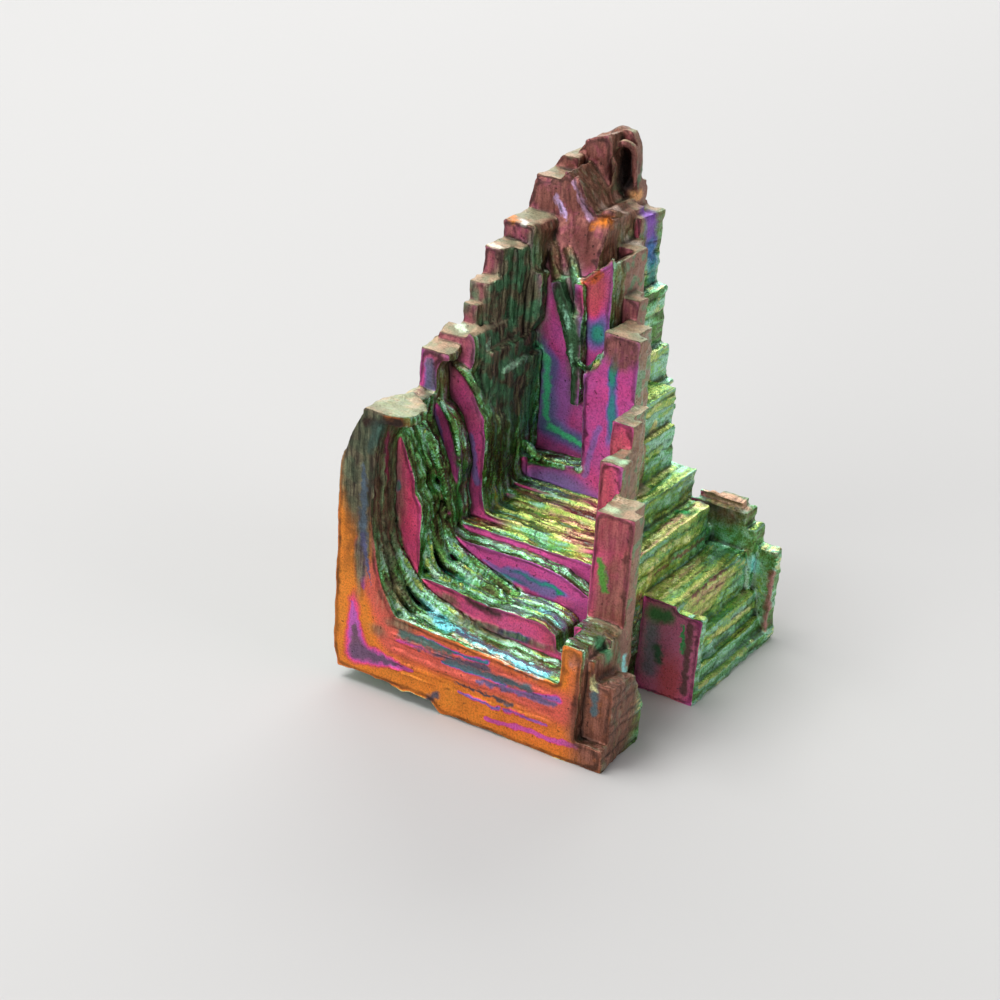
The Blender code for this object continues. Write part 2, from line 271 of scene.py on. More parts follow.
def keepBody(crystal):
    # drops the specks that the remesh leaves loose
    selectOnly(crystal)
    bpy.ops.object.mode_set(mode="EDIT")
    bpy.ops.mesh.select_all(action="SELECT")
    bpy.ops.mesh.separate(type="LOOSE")
    bpy.ops.object.mode_set(mode="OBJECT")
    shells = sorted(bpy.context.selected_objects, key=lambda shell: len(shell.data.vertices))
    for speck in shells[:-1]:
        bpy.data.objects.remove(speck)
    body = shells[-1]
    body.name = "bismuthCrystal"
    return body


def buildCrystal():
    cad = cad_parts["bismuth_crystal"]
    selectOnly(cad)
    bpy.ops.object.duplicate()
    crystal = bpy.context.view_layer.objects.active
    crystal.name = "bismuthCrystal"
    bpy.ops.object.mode_set(mode="EDIT")
    bpy.ops.mesh.select_all(action="SELECT")
    bpy.ops.mesh.remove_doubles(threshold=0.000001)
    bpy.ops.object.mode_set(mode="OBJECT")
    growFolds(crystal)
    applyModifier(crystal, "REMESH", mode="VOXEL", voxel_size=growth["voxel"] * mm)
    crystal = keepBody(crystal)
    print("remeshed to", len(crystal.data.vertices), "points")
    return crystal


def ridgeSides(y):
    # where the ridge of pillars ends on its left and right, for each distance back
    row = np.searchsorted([5.2, 8.6, 11.8, 15.6, 19.5, 21.8, 24.5], y)
    left = np.array([-4.0, -4.9, -6.6, -7.6, -10.9, -11.7, -13.3, -15.8])[row]
    right = np.array([-1.3, -1.3, -4.4, -5.4, -7.5, -9.8, -11.4, -13.4])[row]
    return left, right


def window(value, low, high, soft):
    return ramp(value, low - soft, low + soft) * (1.0 - ramp(value, high - soft, high + soft))


def carveCrystal(crystal):
    mesh = crystal.data
    points, edges = readPoints(mesh), readEdges(mesh)
    smoothed = relax(points, edges, 3)
    writePoints(mesh, smoothed)
    facet = readNormals(mesh)
    # mm, above 0 on edges and below 0 in corners
    convex = np.einsum("ij,ij->i", points - relax(points, edges, 14), facet)
    x, y, z = points.T
    front, top, side = ramp(-facet[:, 1], 0.55, 0.8), facet[:, 2] ** 2, facet[:, 0] ** 2
    outer = np.maximum(ramp(facet[:, 1], 0.45, 0.7), ramp(-facet[:, 0], 0.45, 0.7))

    # which of the crystal's terraces a point lies on
    ridgeLeft, ridgeRight = ridgeSides(y)
    onRight = ramp(x - ridgeRight, 0.0, 0.6)
    onRidge = window(x - ridgeLeft, 0.0, 99.0, 0.15) * (1.0 - onRight) * ramp(y, 1.0, 1.6)
    onSpire = ramp(z, 32.0, 34.0)
    onCaps = ramp(-x, 18.2, 18.8) * ramp(z, 22.0, 22.8) * ramp(facet[:, 2], 0.5, 0.8)
    barred = (1.0 - onRidge) * (1.0 - onSpire) * (1.0 - onCaps)

    wobble = 0.16 * softNoise(points, 2.4, 3)
    walls, wallCrown = growthBars(y + wobble, z + 0.4 * x, *growth["innerWalls"][:2], 11)
    ledges, ledgeCrown = growthBars(y + wobble, x, *growth["ledges"][:2], 12)
    slabs, slabCrown = growthBars(z + wobble, y, *growth["slabs"][:2], 23)
    treads, treadCrown = growthBars(x + wobble, y, *growth["slabs"][:2], 31)
    streaks, streakCrown = growthBars(x + wobble, z, *growth["armStreaks"][:2], 41)
    lines, lineCrown = growthBars(z + 0.05 * x + wobble, x, *growth["armLines"][:2], 43)
    flutes, fluteCrown = growthBars(x + 0.5 * wobble, z, *growth["flutes"][:2], 47)
    furrows, furrowCrown = growthBars(x + 0.35 * (z - 34.0) + wobble, z, *growth["furrows"][:2], 53)

    onArm = front * (y < 1.5) * window(x, -23.6, -21.0, 0.2) * ramp(z, 8.0, 12.0)
    onLines = front * (y < 1.5) * window(x, -19.0, -4.0, 0.4) * window(z, 2.2, 6.5, 0.3)
    onFlutes = front * window(x, -20.0, -16.3, 0.15) * window(y, 10.5, 17.4, 0.1) * window(z, 14.0, 34.0, 0.6)
    regions = [
        ("innerWalls", walls, wallCrown, barred * (1 - onRight) * side * (1 - 0.8 * outer)),
        ("ledges", ledges, ledgeCrown, barred * (1 - onRight) * top),
        ("slabs", slabs, slabCrown, barred * onRight * side * (1 - 0.8 * outer)),
        ("slabs", treads, treadCrown, barred * onRight * top),
        ("armStreaks", streaks, streakCrown, onArm),
        ("armLines", lines, lineCrown, onLines),
        ("flutes", flutes, fluteCrown, onFlutes),
        ("furrows", furrows, furrowCrown, front * onSpire),
    ]
    relief, bar, gap = np.zeros(len(x)), np.full(len(x), 0.5), np.zeros(len(x))
    for name, height, crown, share in regions:
        relief += share * (growth[name][2] * (height - 0.6) + 0.07 * crown)
        bar += share * (height - 0.5)
        gap += share * (1.0 - ramp(crown, 0.0, 0.45))
    rope, strand, strandCrown = strandFolds(points)
    relief += rope * (growth["strands"][2] * (strand - 0.5) + 0.05 * strandCrown)
    bar += rope * (strand - bar)
    gap += rope * (1.0 - ramp(strandCrown, 0.0, 0.5) - gap)

    rough = (1.0 - 0.85 * front) * (1.0 - 0.55 * outer) * growth["crumple"]
    stretched = points * np.array([0.6, 0.8, 0.8])
    relief += rough * (softNoise(stretched, 0.55, 61) + 0.8 * softNoise(stretched, 0.3, 62))
    relief += growth["rimLift"] * ramp(convex, 0.05, 0.22)
    waver = growth["waver"] * np.stack([softNoise(points, 3.1, 40 + k) for k in range(3)], axis=1)
    waver += growth["ragged"] * np.stack([softNoise(points, 0.8, 50 + k) for k in range(3)], axis=1)
    waver *= 1.0 - 0.5 * front[:, None]
    moved = smoothed + facet * relief[:, None] + waver
    # the hollow in the tip of the spire
    away = np.hypot((x + 15.5) / 0.85, (z - 38.2) / 1.8)
    moved[:, 1] += 1.1 * (1.0 - ramp(away, 0.5, 1.1)) * front * (y > 23.5) * (y < 27.4)
    moved = np.clip(moved, np.array([-24.55, -0.25, 0.0]), np.array([1.55, 28.55, 41.45]))
    writePoints(mesh, moved)

    bare = np.maximum(onRidge * (1.0 - front) * (1.0 - outer) * ramp(y, 4.2, 5.0), onCaps)
    storePoints(mesh, "facet", "FLOAT_VECTOR", "vector", facet)
    for name, values in (("rim", convex), ("bar", bar), ("bare", bare), ("rope", rope), ("gap", gap)):
        storePoints(mesh, name, "FLOAT", "value", values)


def finishCrystal(crystal):
    share = growth["triangles"] / (2.0 * len(crystal.data.polygons))
    applyModifier(crystal, "DECIMATE", ratio=min(1.0, share), use_collapse_triangulate=True)
    points = readPoints(crystal.data)
    points[:, 2] = np.maximum(points[:, 2], 0.0)
    writePoints(crystal.data, points)
    selectOnly(crystal)
    bpy.ops.object.shade_smooth_by_angle(angle=radians(38))
    print("crystal has", len(crystal.data.polygons), "triangles")


def tone(red, green, blue):
    # a colour as it looks on a screen, 0 to 255, made linear
    linear = [((v / 255.0 + 0.055) / 1.055) ** 2.4 if v > 10 else v / 3294.6 for v in (red, green, blue)]
    return (*linear, 1.0)


def addNode(tree, kind, **values):
    node = tree.nodes.new("ShaderNode" + kind)
    for name, value in values.items():
        setattr(node, name, value)
    return node


def feed(tree, socket, source):
    if isinstance(source, bpy.types.NodeSocket):
        tree.links.new(source, socket)
    else:
        socket.default_value = source


def calc(tree, operation, a, b=0.0, c=0.0):
    node = addNode(tree, "Math", operation=operation)
    for socket, source in zip(node.inputs, (a, b, c)):
        feed(tree, socket, source)
    return node.outputs[0]


def calcVector(tree, operation, a, b=(0.0, 0.0, 0.0), c=(0.0, 0.0, 0.0)):
    node = addNode(tree, "VectorMath", operation=operation)
    feed(tree, node.inputs[0], a)
    if operation == "SCALE":
        feed(tree, node.inputs["Scale"], b)
    elif operation != "LENGTH":
        feed(tree, node.inputs[1], b)
        if operation == "MULTIPLY_ADD":
            feed(tree, node.inputs[2], c)
    return node.outputs["Value" if operation in ("LENGTH", "DOT_PRODUCT") else "Vector"]


def fade(tree, value, low, high, start=0.0, end=1.0):
    node = addNode(tree, "MapRange", interpolation_type="SMOOTHSTEP")
    labels = ("Value", "From Min", "From Max", "To Min", "To Max")
    for label, source in zip(labels, (value, low, high, start, end)):
        feed(tree, node.inputs[label], source)
    return node.outputs["Result"]


def blend(tree, share, a, b, mode="MIX"):
    node = addNode(tree, "Mix", data_type="RGBA", blend_type=mode)
    feed(tree, node.inputs[0], share)
    feed(tree, node.inputs[6], a)
    feed(tree, node.inputs[7], b)
    return node.outputs[2]


def blendValue(tree, share, a, b):
    node = addNode(tree, "Mix", data_type="FLOAT")
    feed(tree, node.inputs[0], share)
    feed(tree, node.inputs[2], a)
    feed(tree, node.inputs[3], b)
    return node.outputs[0]


def grain(tree, vector, scale, detail=2.0, roughness=0.5):
    node = addNode(tree, "TexNoise")
    feed(tree, node.inputs["Vector"], vector)
    node.inputs["Scale"].default_value = scale
    node.inputs["Detail"].default_value = detail
    node.inputs["Roughness"].default_value = roughness
    return node.outputs


def newGroup(name, inputs, outputs):
    tree = bpy.data.node_groups.new(name, "ShaderNodeTree")
    for label, kind in inputs:
        tree.interface.new_socket(label, in_out="INPUT", socket_type="NodeSocket" + kind)
    for label, kind in outputs:
        tree.interface.new_socket(label, in_out="OUTPUT", socket_type="NodeSocket" + kind)
    return tree, tree.nodes.new("NodeGroupInput").outputs, tree.nodes.new("NodeGroupOutput").inputs


def useGroup(tree, group, **sources):
    node = tree.nodes.new("ShaderNodeGroup")
    node.node_tree = group
    for label, source in sources.items():
        feed(tree, node.inputs[label], source)
    return node.outputs


# the oxide skin's colour by its thickness: gold when thin, then magenta, blue and green as it thickens
oxideTones = [
    (0.00, (120, 80, 60)), (0.09, (216, 142, 50)), (0.18, (224, 126, 46)), (0.26, (216, 108, 66)),
    (0.34, (214, 92, 90)), (0.41, (232, 82, 122)), (0.49, (214, 82, 156)), (0.56, (172, 100, 182)),
    (0.62, (128, 110, 174)), (0.67, (88, 112, 150)), (0.72, (66, 142, 150)), (0.78, (56, 158, 122)),
    (0.84, (58, 154, 78)), (0.90, (104, 162, 66)), (0.95, (154, 182, 78)), (1.00, (214, 216, 140)),
]
# the streaked ledges and walls: dark hollows, green, mint, yellow green and brown
ledgeTones = [
    (0.00, (50, 50, 34)), (0.12, (88, 88, 56)), (0.24, (98, 130, 70)), (0.34, (106, 168, 88)),
    (0.43, (134, 208, 150)), (0.50, (176, 224, 206)), (0.58, (130, 192, 112)), (0.68, (182, 206, 104)),
    (0.78, (212, 212, 128)), (0.86, (200, 166, 130)), (0.93, (160, 102, 92)), (1.00, (100, 64, 56)),
]


def rampGroup(name, tones):
    tree, entry, result = newGroup(name, [("Value", "Float")], [("Color", "Color")])
    node = addNode(tree, "ValToRGB")
    stops = node.color_ramp.elements
    for place, _ in tones[2:]:
        stops.new(place)
    for stop, (place, colour) in zip(stops, tones):
        stop.position, stop.color = place, tone(*colour)
    tree.links.new(entry["Value"], node.inputs[0])
    tree.links.new(node.outputs["Color"], result["Color"])
    return tree


def oxidePatchGroup():
    # a soft blot around a centre: 1 inside and 0 outside
    inputs = [("Place", "Vector"), ("Centre", "Vector"), ("Reach", "Vector"), ("Softness", "Float")]
    tree, entry, result = newGroup("oxidePatch", inputs, [("Mask", "Float")])
    away = calcVector(tree, "SUBTRACT", entry["Place"], entry["Centre"])
    far = calcVector(tree, "LENGTH", calcVector(tree, "DIVIDE", away, entry["Reach"]))
    inner = calc(tree, "SUBTRACT", 1.0, entry["Softness"])
    outer = calc(tree, "ADD", 1.0, entry["Softness"])
    tree.links.new(fade(tree, far, inner, outer, 1.0, 0.0), result["Mask"])
    return tree


def oxideStrokeGroup():
    # a stroke from start to end that can taper: 1 on it and 0 away from it
    inputs = [(label, "Vector") for label in ("Place", "Start", "End")]
    inputs += [(label, "Float") for label in ("StartWidth", "EndWidth", "Softness")]
    tree, entry, result = newGroup("oxideStroke", inputs, [("Mask", "Float")])
    way = calcVector(tree, "SUBTRACT", entry["End"], entry["Start"])
    away = calcVector(tree, "SUBTRACT", entry["Place"], entry["Start"])
    whole = calcVector(tree, "DOT_PRODUCT", way, way)
    share = calc(tree, "DIVIDE", calcVector(tree, "DOT_PRODUCT", away, way), whole)
    share = calc(tree, "MINIMUM", calc(tree, "MAXIMUM", share, 0.0), 1.0)
    beside = calcVector(tree, "SUBTRACT", away, calcVector(tree, "SCALE", way, share))
    far = calcVector(tree, "LENGTH", beside)
    width = blendValue(tree, share, entry["StartWidth"], entry["EndWidth"])
    inner = calc(tree, "SUBTRACT", 1.0, entry["Softness"])
    outer = calc(tree, "ADD", 1.0, entry["Softness"])
    tree.links.new(fade(tree, calc(tree, "DIVIDE", far, width), inner, outer, 1.0, 0.0), result["Mask"])
    return tree


def facingGroup():
    # shares of the surface that face front, up, back and left
    labels = ("Front", "Top", "Back", "Left")
    tree, entry, result = newGroup("facing", [("Facet", "Vector")], [(label, "Float") for label in labels])
    parts = addNode(tree, "SeparateXYZ")
    tree.links.new(entry["Facet"], parts.inputs[0])
    for label, axis, sign in zip(labels, (1, 2, 1, 0), (-1.0, 1.0, 1.0, -1.0)):
        share = calc(tree, "MULTIPLY", parts.outputs[axis], sign)
        tree.links.new(fade(tree, share, 0.5, 0.8), result[label])
    return tree


# the skin: how thick it is on each plane and in the blots and strokes that cross them
oxide = {
    "planes": [(0.0, 0.15), (2.4, 0.16), (3.0, 0.42), (6.0, 0.43), (6.3, 0.485), (8.4, 0.48), (9.0, 0.47),
               (15.2, 0.47), (15.5, 0.50), (17.2, 0.50), (17.6, 0.50), (28.0, 0.42)],
    # centre, reach, softness, thickness
    "patches": [
        ((-4.6, 0.0, 1.6), (5.0, 1.0, 1.0), 0.6, 0.20),
        ((-20.3, 0.0, 11.5), (0.7, 1.0, 4.5), 0.5, 0.33),
        ((-22.4, 0.0, 6.2), (0.5, 1.0, 1.6), 0.6, 0.46),
        ((-2.6, 0.0, 5.5), (0.6, 1.0, 3.0), 0.5, 0.22),
        ((-20.9, 3.2, 16.3), (0.20, 0.8, 0.40), 0.4, 0.74),
        ((-9.2, 3.2, 7.1), (1.9, 0.8, 0.32), 0.5, 0.70),
        ((-7.6, 3.2, 6.9), (0.9, 0.8, 0.7), 0.4, 0.43),
        ((-11.4, 6.5, 10.1), (2.4, 1.0, 0.55), 0.5, 0.74),
        ((-9.0, 6.5, 9.9), (1.6, 1.0, 0.40), 0.4, 0.84),
        ((-13.6, 15.6, 13.9), (3.6, 0.9, 1.5), 0.5, 0.60),
        ((-9.6, 15.6, 25.0), (0.35, 0.9, 1.5), 0.5, 0.76),
        ((-9.4, 15.6, 21.6), (0.4, 0.9, 2.2), 0.5, 0.72),
        ((-12.7, 17.7, 27.4), (1.1, 0.9, 1.6), 0.5, 0.66),
        ((-12.4, 17.7, 27.0), (0.5, 0.9, 0.7), 0.6, 0.76),
        ((-13.0, 17.7, 30.0), (1.0, 1.2, 2.0), 0.5, 0.38),
        ((-15.2, 17.7, 20.6), (1.0, 0.9, 3.2), 0.5, 0.555),
        ((-3.4, 5.2, 12.9), (0.35, 0.7, 0.8), 0.4, 0.86),
        ((-3.0, 5.2, 8.2), (0.4, 0.7, 0.9), 0.4, 0.78),
        ((-6.5, 10.5, 18.0), (2.2, 3.2, 5.0), 0.3, 0.40),
    ],
    # start, end, width at each end, softness, thickness
    "strokes": [
        ((-21.4, 0.0, 10.0), (-18.6, 0.0, 5.6), (0.9, 1.3), 0.6, 0.31),
        ((-18.6, 0.0, 5.2), (-3.6, 0.0, 4.4), (1.6, 1.5), 0.5, 0.31),
        ((-22.6, 0.0, 7.0), (-22.0, 0.0, 2.8), (0.14, 1.05), 0.45, 0.54),
        ((-22.1, 0.0, 2.7), (-16.6, 0.0, 3.1), (1.00, 0.18), 0.45, 0.52),
        ((-22.5, 0.0, 18.0), (-21.55, 0.0, 8.4), (0.42, 0.06), 0.5, 0.66),
        ((-22.1, 0.0, 12.6), (-21.6, 0.0, 8.6), (0.5, 0.2), 0.7, 0.52),
        ((-18.0, 0.0, 5.2), (-15.0, 0.0, 5.1), (0.24, 0.12), 0.6, 0.52),
        ((-16.8, 0.0, 5.8), (-10.1, 0.0, 6.0), (0.16, 0.20), 0.6, 0.72),
        ((-14.0, 0.0, 4.6), (-8.4, 0.0, 4.6), (0.14, 0.22), 0.6, 0.70),
        ((-8.8, 0.0, 4.2), (-3.6, 0.0, 4.9), (0.16, 0.30), 0.7, 0.60),
        ((-12.2, 0.0, 2.5), (-8.7, 0.0, 2.4), (0.12, 0.16), 0.6, 0.62),
        ((-8.2, 0.0, 2.4), (-4.5, 0.0, 2.6), (0.20, 0.14), 0.6, 0.58),
        ((-9.9, 0.0, 1.2), (-1.9, 0.0, 1.56), (0.18, 0.28), 0.35, 0.51),
        ((-18.5, 9.6, 19.2), (-17.8, 9.6, 15.4), (0.24, 0.3), 0.5, 0.60),
        ((-20.9, 7.8, 21.2), (-20.1, 7.8, 18.8), (0.2, 0.2), 0.5, 0.60),
        ((-21.7, 7.8, 25.2), (-21.5, 7.8, 22.6), (0.35, 0.6), 0.5, 0.66),
        ((-14.8, 6.5, 10.6), (-8.6, 6.5, 9.6), (0.12, 0.5), 0.6, 0.60),
        ((-18.0, 17.7, 24.6), (-16.5, 17.7, 23.4), (1.1, 0.8), 0.6, 0.64),
        ((-16.6, 17.7, 23.6), (-16.3, 17.7, 18.6), (0.85, 0.80), 0.6, 0.64),
        ((-16.0, 17.7, 18.1), (-13.1, 17.7, 17.3), (1.0, 0.70), 0.6, 0.65),
        ((-16.4, 15.6, 12.95), (-10.4, 15.6, 13.1), (0.22, 0.34), 0.7, 0.83),
        ((-11.4, 15.6, 16.0), (-10.5, 15.6, 20.0), (0.3, 0.25), 0.6, 0.58),
        ((-0.3, 13.5, 6.7), (0.1, 13.5, 4.3), (0.14, 0.30), 0.4, 0.85),
    ],
    # where the skin is dull brown: centre, reach, share, softness
    "rust": [
        ((-17.0, 23.0, 38.0), (6.0, 12.0, 6.5), 0.95, 0.3),
        ((-14.6, 20.3, 34.0), (2.6, 2.6, 3.6), 0.95, 0.4),
        ((-17.0, 19.0, 34.5), (2.6, 3.0, 4.2), 0.9, 0.4),
        ((-21.0, 13.0, 31.0), (2.2, 9.0, 8.5), 0.85, 0.3),
        ((-2.9, 5.6, 17.3), (2.6, 2.4, 2.2), 0.75, 0.5),
        ((-1.6, 5.4, 12.5), (0.55, 1.2, 8.5), 0.85, 0.5),
        ((-9.0, 15.6, 27.2), (1.8, 1.6, 1.9), 0.9, 0.3),
        ((-12.5, 21.5, 31.5), (2.0, 4.0, 3.4), 0.85, 0.4),
        ((-10.6, 19.5, 29.0), (1.4, 1.6, 2.2), 0.85, 0.4),
        ((-0.6, 2.0, 3.8), (2.4, 3.8, 6.0), 0.97, 0.3),
        ((-2.4, 1.8, 8.7), (1.0, 2.2, 0.8), 0.8, 0.5),
        ((-1.5, 4.4, 9.0), (1.4, 2.0, 1.8), 0.8, 0.5),
        ((-20.8, 1.6, 22.3), (2.4, 2.2, 0.9), 0.9, 0.4),
        ((-3.5, 27.0, 11.2), (2.2, 2.0, 1.4), 0.7, 0.4),
        ((-2.5, 5.3, 11.0), (1.8, 1.0, 5.5), 0.86, 0.4),
        ((-6.5, 10.5, 18.0), (2.6, 3.6, 5.0), 0.42, 0.4),
    ],
    # where front faces are as streaked as the ledges: centre, reach, share, softness
    "streaked": [
        ((-11.4, 12.0, 12.4), (5.6, 3.4, 2.6), 1.0, 0.15),
        ((-1.0, 26.6, 6.5), (5.5, 1.8, 8.0), 0.9, 0.3),
        ((-17.9, 13.6, 24.0), (0.9, 3.6, 12.0), 0.9, 0.2),
        ((-14.5, 17.1, 23.4), (1.0, 0.42, 5.4), 1.0, 0.15),
    ],
    # where it is dark and mossy, with fine upright streaks
    "moss": [
        ((-22.4, 0.2, 21.5), (2.0, 1.4, 8.0), 1.0, 0.25),
        ((-21.9, 0.2, 13.5), (0.75, 1.2, 5.5), 0.9, 0.3),
        ((-18.2, 14.0, 26.5), (1.9, 4.4, 9.0), 1.0, 0.3),
        ((-15.4, 17.6, 30.4), (1.0, 1.8, 3.0), 0.7, 0.5),
        ((-14.1, 17.1, 24.5), (0.9, 0.9, 4.6), 0.5, 0.3),
        ((-20.9, 1.7, 14.5), (1.1, 1.8, 7.5), 0.75, 0.3),
        ((-19.2, 1.2, 8.2), (1.6, 1.4, 1.6), 0.60, 0.5),
        ((-11.5, 2.9, 7.1), (6.0, 0.7, 0.45), 0.80, 0.4),
        ((-21.0, 12.0, 29.6), (0.9, 1.4, 1.4), 0.7, 0.5),
        ((-18.0, 0.1, 6.5), (1.3, 0.7, 0.45), 0.75, 0.6),
        ((-20.0, 0.1, 5.2), (0.8, 0.7, 0.5), 0.65, 0.7),
        ((-15.8, 3.2, 8.2), (1.0, 0.6, 0.5), 0.8, 0.6),
    ],
    # tints of faces that look forward: the right block's own pink and coral, made brighter as painted light
    # against the shade of the ridge: centre, reach, softness, colour
    "tintsAndPaintedLight": [
        ((-1.3, 13.5, 4.0), (3.0, 0.9, 4.8), 0.2, (246, 136, 176)),
        ((-0.9, 13.5, 1.6), (1.1, 0.9, 2.2), 0.6, (255, 118, 132)),
    ],
    # marks of one colour, the skin's own colours together with painted glints and highlights and one painted
    # shade: start, end, width at each end, softness, colour
    "veinsAndPaintedLight": [
        # the skin's own colours
        ((-22.3, 0.0, 5.2), (-22.0, 0.0, 2.9), (0.14, 0.70), 0.5, (118, 84, 106)),
        ((-22.0, 0.0, 2.8), (-17.6, 0.0, 3.0), (0.66, 0.10), 0.5, (112, 84, 112)),
        ((-22.1, 0.0, 18.8), (-21.9, 0.0, 13.0), (0.22, 0.36), 0.7, (98, 118, 134)),
        ((-21.9, 0.0, 13.0), (-20.9, 0.0, 8.8), (0.34, 0.05), 0.7, (98, 100, 138)),
        ((-21.1, 1.5, 21.3), (-21.2, 2.0, 17.2), (0.30, 0.24), 0.5, (134, 62, 84)),
        ((-22.0, 0.0, 22.5), (-19.3, 0.3, 22.9), (0.36, 0.52), 0.6, (62, 42, 34)),
        ((-20.9, 0.0, 22.2), (-21.6, 0.0, 20.4), (0.60, 0.30), 0.9, (74, 104, 92)),
        ((-17.8, 0.0, 5.8), (-13.4, 0.0, 5.7), (0.42, 0.30), 0.6, (88, 108, 100)),
        ((-16.6, 0.0, 5.1), (-10.0, 0.0, 5.45), (0.20, 0.26), 0.6, (98, 84, 104)),
        ((-13.6, 0.0, 4.85), (-6.2, 0.0, 5.0), (0.28, 0.36), 0.6, (88, 104, 110)),
        ((-10.6, 0.0, 4.1), (-4.0, 0.0, 4.5), (0.18, 0.26), 0.6, (118, 98, 136)),
        ((-12.8, 0.0, 3.3), (-7.6, 0.0, 3.1), (0.12, 0.20), 0.6, (90, 80, 84)),
        ((-15.0, 0.0, 1.0), (-14.4, 0.0, 1.5), (0.30, 0.30), 0.8, (96, 88, 98)),
        ((-1.95, 0.6, 8.0), (-1.75, 0.6, 2.6), (0.34, 0.34), 0.5, (140, 92, 72)),
        ((-14.0, 3.2, 8.7), (-11.2, 3.2, 8.3), (0.26, 0.34), 1.0, (84, 48, 50)),
        ((-2.9, 13.5, 6.9), (-1.7, 13.5, 7.1), (0.75, 0.65), 0.7, (104, 150, 100)),
        ((-2.9, 13.5, 5.6), (-2.8, 13.5, 2.0), (0.65, 0.70), 0.8, (176, 150, 176)),
        ((-2.3, 13.5, 4.0), (-2.0, 13.5, 3.0), (0.40, 0.34), 0.8, (92, 130, 104)),
        ((-0.3, 13.5, 6.7), (0.0, 13.5, 4.4), (0.14, 0.26), 0.4, (96, 200, 124)),
        ((0.35, 13.5, 6.8), (0.40, 13.5, 1.0), (0.34, 0.30), 0.6, (140, 98, 100)),
        ((1.2, 26.9, 6.5), (1.3, 26.9, 1.5), (0.34, 0.40), 0.6, (176, 128, 120)),
        ((-5.5, 27.2, 12.1), (-2.0, 27.2, 11.9), (0.45, 0.50), 0.6, (206, 166, 136)),
        ((-3.8, 26.7, 11.0), (-2.6, 26.8, 10.6), (0.50, 0.60), 0.6, (128, 66, 54)),
        ((-2.6, 0.8, 8.35), (-2.2, 2.2, 8.35), (0.70, 0.70), 0.6, (196, 140, 128)),
        # painted glints on the caps of the left pillars, the brow and the ridge
        ((-19.7, 17.5, 34.85), (-19.2, 16.7, 34.85), (0.34, 0.30), 0.6, (244, 240, 230)),
        ((-20.8, 17.5, 34.85), (-20.2, 16.8, 34.85), (0.40, 0.40), 0.6, (226, 144, 74)),
        ((-20.9, 14.5, 33.3), (-19.9, 14.1, 33.3), (0.36, 0.34), 0.6, (240, 230, 208)),
        ((-21.0, 10.8, 27.5), (-20.3, 10.4, 27.5), (0.36, 0.34), 0.6, (218, 236, 206)),
        ((-14.6, 26.2, 36.0), (-14.0, 26.6, 36.0), (0.45, 0.45), 0.6, (238, 178, 120)),
        ((-13.1, 23.2, 33.1), (-12.2, 23.3, 33.1), (0.50, 0.50), 0.6, (242, 228, 208)),
        ((-6.1, 9.3, 21.0), (-5.1, 9.3, 21.0), (0.50, 0.50), 0.6, (200, 244, 196)),
        ((-4.4, 6.2, 18.7), (-3.6, 6.0, 18.7), (0.45, 0.45), 0.6, (216, 242, 196)),
        # the skin's own green ring
        ((-17.9, 17.7, 24.6), (-16.7, 17.7, 23.7), (0.42, 0.36), 0.6, (98, 214, 150)),
        ((-16.6, 17.7, 23.5), (-16.4, 17.7, 18.8), (0.32, 0.32), 0.6, (84, 200, 150)),
        ((-16.0, 17.7, 18.1), (-13.2, 17.7, 17.3), (0.34, 0.28), 0.6, (88, 204, 150)),
        # painted shade in the hollow of the spire's tip
        ((-15.5, 26.3, 38.4), (-15.5, 26.3, 36.9), (0.90, 0.90), 0.6, (70, 60, 58)),
        # the skin's own dark maroon below the spire
        ((-15.6, 20.1, 33.6), (-14.2, 19.0, 32.0), (1.20, 0.90), 0.8, (98, 48, 44)),
        # painted glints along the sill, its ropes and its edge
        ((-19.5, 1.2, 8.7), (-18.7, 1.0, 7.7), (0.30, 0.30), 0.7, (228, 218, 164)),
        ((-17.6, 2.4, 7.7), (-15.6, 1.8, 6.9), (0.34, 0.42), 0.5, (160, 226, 230)),
        ((-15.5, 1.75, 6.9), (-11.6, 1.0, 6.7), (0.50, 0.60), 0.4, (136, 234, 248)),
        ((-10.8, 0.9, 6.6), (-5.6, 0.75, 6.35), (0.55, 0.66), 0.4, (150, 238, 248)),
        ((-13.4, 0.5, 6.8), (-8.0, 0.3, 6.5), (0.16, 0.20), 0.6, (240, 214, 178)),
        # the throat finger's own dark green, then painted mint glints on it
        ((-15.6, 17.0, 29.8), (-14.1, 16.9, 26.3), (0.80, 0.66), 0.5, (64, 100, 70)),
        ((-14.0, 16.9, 26.2), (-13.8, 16.9, 18.4), (0.62, 0.50), 0.5, (58, 88, 60)),
        ((-15.3, 16.9, 28.9), (-14.6, 16.9, 27.2), (0.14, 0.20), 0.7, (150, 206, 176)),
        ((-14.2, 16.8, 25.6), (-13.9, 16.8, 23.6), (0.18, 0.14), 0.7, (136, 192, 156)),
        # the skin's own green
        ((-3.95, 5.2, 14.6), (-3.35, 5.2, 12.3), (0.26, 0.34), 0.6, (92, 150, 62)),
        # painted glints on the corner ropes
        ((-18.0, 5.4, 9.6), (-15.0, 5.2, 9.0), (0.36, 0.44), 0.5, (136, 228, 218)),
        ((-8.4, 5.0, 8.7), (-5.6, 4.6, 8.5), (0.36, 0.55), 0.5, (146, 232, 218)),
        # the skin's own green
        ((-18.39, 8.8, 17.0), (-18.1, 7.4, 13.2), (0.40, 0.50), 0.7, (78, 156, 84)),
        # painted glints on the left columns
        ((-18.7, 11.7, 26.4), (-18.7, 11.4, 25.4), (0.26, 0.30), 0.6, (186, 232, 196)),
        ((-17.6, 12.5, 24.0), (-17.6, 15.6, 24.2), (0.30, 0.24), 0.6, (176, 230, 190)),
        # the skin's own teal
        ((-17.6, 17.2, 29.8), (-17.6, 17.2, 25.6), (0.24, 0.40), 0.7, (70, 126, 96)),
